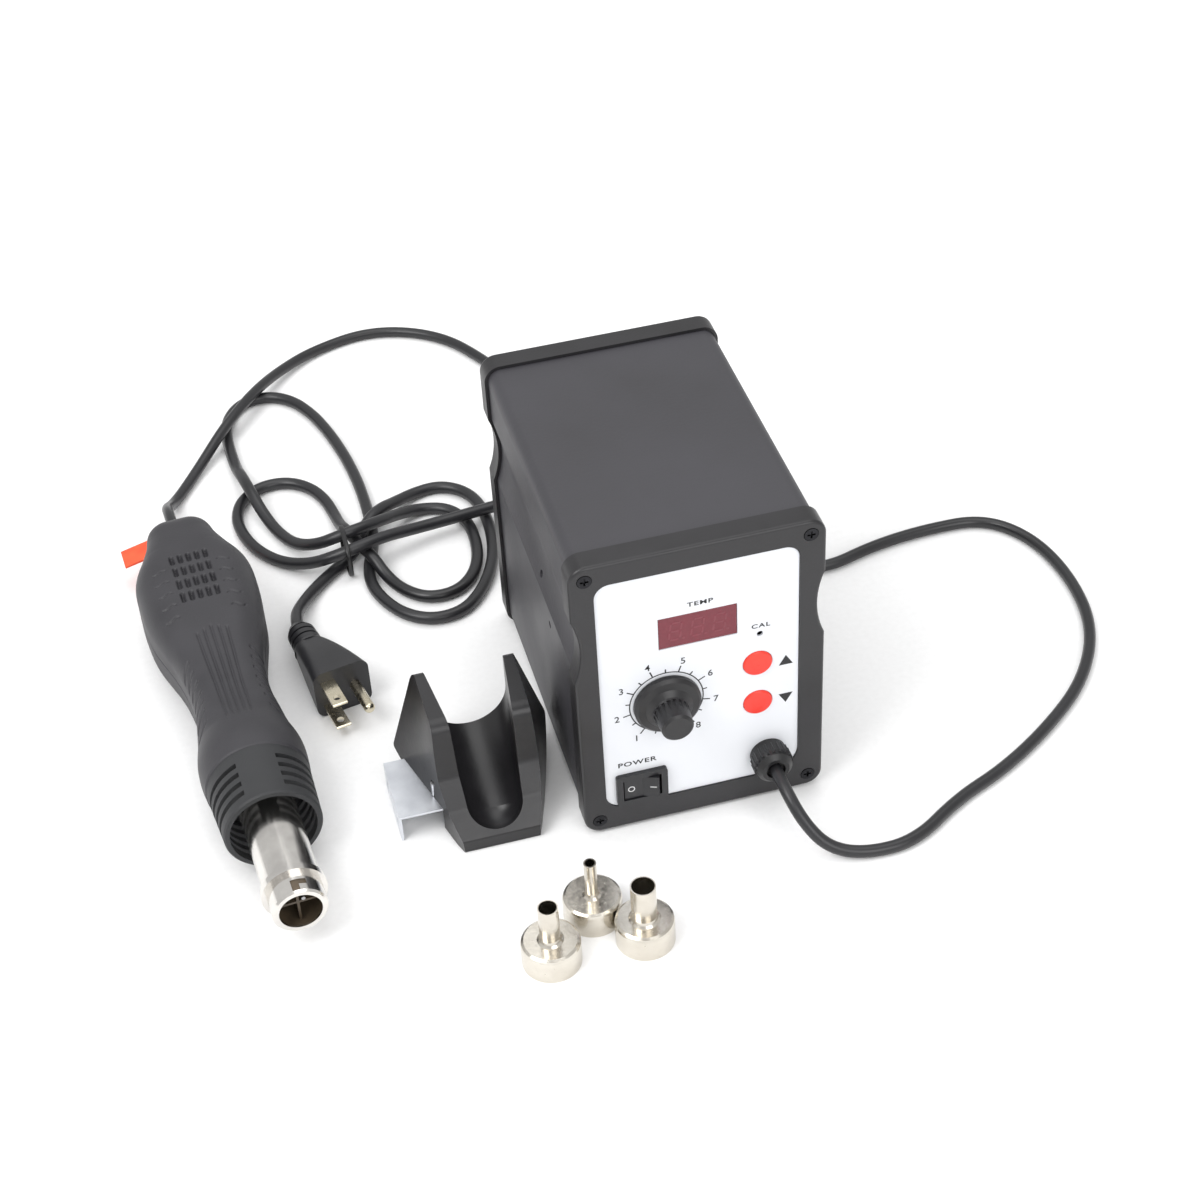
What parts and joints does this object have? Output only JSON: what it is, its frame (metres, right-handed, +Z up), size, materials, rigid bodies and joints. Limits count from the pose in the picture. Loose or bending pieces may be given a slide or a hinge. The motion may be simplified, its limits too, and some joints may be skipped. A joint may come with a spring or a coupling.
{
  "type": "hot air station",
  "caption": "Compact bench hot air station with display, airflow knob and rocker switch, a corded blower gun, a clip-on gun holder, push-on round nozzles and a tied mains lead.",
  "frame": {"origin": "centre of the underside of the station's left front foot, on the plane that all four feet stand on", "axes": "+X to the station's right seen from the front, +Y from the front panel to the rear cover, +Z up"},
  "size_m": [0.4107, 0.4561, 0.1386],
  "materials": {
    "case_plastic": "injection-moulded ABS, fine texture",
    "sleeve": "powder-coated aluminium extrusion",
    "panel": "screen-printed panel",
    "window": "tinted clear acrylic",
    "knob": "moulded ABS",
    "button": "moulded ABS",
    "switch": "moulded nylon",
    "black_nylon": "moulded nylon",
    "rubber": "soft PVC or rubber",
    "pcb": "glass-fibre laminate",
    "steel": "drawn stainless steel",
    "zinc": "zinc-plated sheet steel",
    "screw": "zinc-plated steel",
    "laminations": "varnished steel laminations",
    "copper": "enamelled copper winding",
    "aluminium": "extruded aluminium",
    "mica": "mica sheet",
    "heater_wire": "resistance wire",
    "gun_plastic": "moulded heat-resistant nylon",
    "tag": "coated film label",
    "brass": "nickel-plated brass",
    "components": "moulded component bodies",
    "plug_plastic": "moulded PVC"
  },
  "bodies": {
    "station": {"front_bezel": "case_plastic", "rear_cover": "case_plastic", "front_panel": "panel", "sleeve_case": "sleeve", "rubber_feet": "rubber", "cover_screws": "screw", "display_window": "window", "display_module": "components", "switch_housing": "switch", "airflow_potentiometer": "zinc", "potentiometer_nut": "screw", "board_components": "components", "control_board": "pcb", "board_standoffs": "black_nylon", "gland_body": "black_nylon", "gland_cap": "black_nylon", "gland_seal": "rubber", "gland_locknut": "black_nylon", "power_board": "pcb", "transformer_core": "laminations", "transformer_coil": "copper", "heatsink": "aluminium", "power_parts": "components", "handle_cord": "rubber", "mains_strain_relief": "rubber", "mains_cord": "rubber", "mains_hank": "rubber", "cable_tie": "black_nylon", "plug_lead": "rubber", "plug_body": "plug_plastic", "plug_pins": "brass"},
    "airflow_control": {"airflow_knob": "knob", "knob_shaft": "aluminium"},
    "power_rocker": {"switch_rocker": "switch"},
    "temp_up": {"up_button": "button"},
    "temp_down": {"down_button": "button"},
    "calibration_screw": {"trimmer_rotor": "brass"},
    "gun": {"handle_shell_top": "gun_plastic", "handle_shell_bottom": "gun_plastic", "handle_screws": "screw", "nozzle_seat": "steel", "heater_tube": "steel", "mica_sleeve": "mica", "heater_former": "mica", "heater_coil": "heater_wire", "thermocouple": "steel", "front_cage": "gun_plastic", "fan_housing": "black_nylon", "fan_motor": "components", "handle_board": "pcb", "tail_boot": "rubber", "cord_tag": "tag"},
    "blower_wheel": {"impeller": "black_nylon"},
    "gun_holder": {"cradle": "case_plastic", "cradle_magnet": "screw", "cradle_bracket": "zinc", "bracket_screws": "screw"},
    "small_nozzle": {"nozzle_5mm": "steel"},
    "medium_nozzle": {"nozzle_8mm": "steel"},
    "large_nozzle": {"nozzle_10mm": "steel"}
  },
  "joints": [
    {"name": "airflow_turn", "type": "hinge", "parent": "station", "child": "airflow_control", "pos_m": [0.0278, -0.028, 0.0636], "axis": [0, -1, 0], "range_deg": [0, 284]},
    {"name": "power_rock", "type": "hinge", "parent": "station", "child": "power_rocker", "pos_m": [0.0162, -0.0265, 0.0216], "axis": [0, 0, 1], "range_deg": [0, 20]},
    {"name": "temp_up_press", "type": "slide", "parent": "station", "child": "temp_up", "axis": [0, 1, 0], "range_m": [0, 0.001], "stiffness_N_per_m": 1500},
    {"name": "temp_down_press", "type": "slide", "parent": "station", "child": "temp_down", "axis": [0, 1, 0], "range_m": [0, 0.001], "stiffness_N_per_m": 1500},
    {"name": "calibration_turn", "type": "hinge", "parent": "station", "child": "calibration_screw", "pos_m": [0.0659, -0.017, 0.088], "axis": [0, -1, 0], "range_deg": [-135, 135]},
    {"name": "gun_lift", "type": "slide", "parent": "station", "child": "gun", "axis": [0, 0, 1], "range_m": [0, 0.15]},
    {"name": "blower_spin", "type": "hinge", "parent": "gun", "child": "blower_wheel", "pos_m": [-0.13871, 0.13454, 0.022], "axis": [0, 0, 1], "continuous": true},
    {"name": "holder_lift", "type": "slide", "parent": "station", "child": "gun_holder", "axis": [0, 0, 1], "range_m": [0, 0.15]},
    {"name": "small_nozzle_lift", "type": "slide", "parent": "station", "child": "small_nozzle", "axis": [0, 0, 1], "range_m": [0, 0.1]},
    {"name": "medium_nozzle_lift", "type": "slide", "parent": "station", "child": "medium_nozzle", "axis": [0, 0, 1], "range_m": [0, 0.1]},
    {"name": "large_nozzle_lift", "type": "slide", "parent": "station", "child": "large_nozzle", "axis": [0, 0, 1], "range_m": [0, 0.1]}
  ]
}
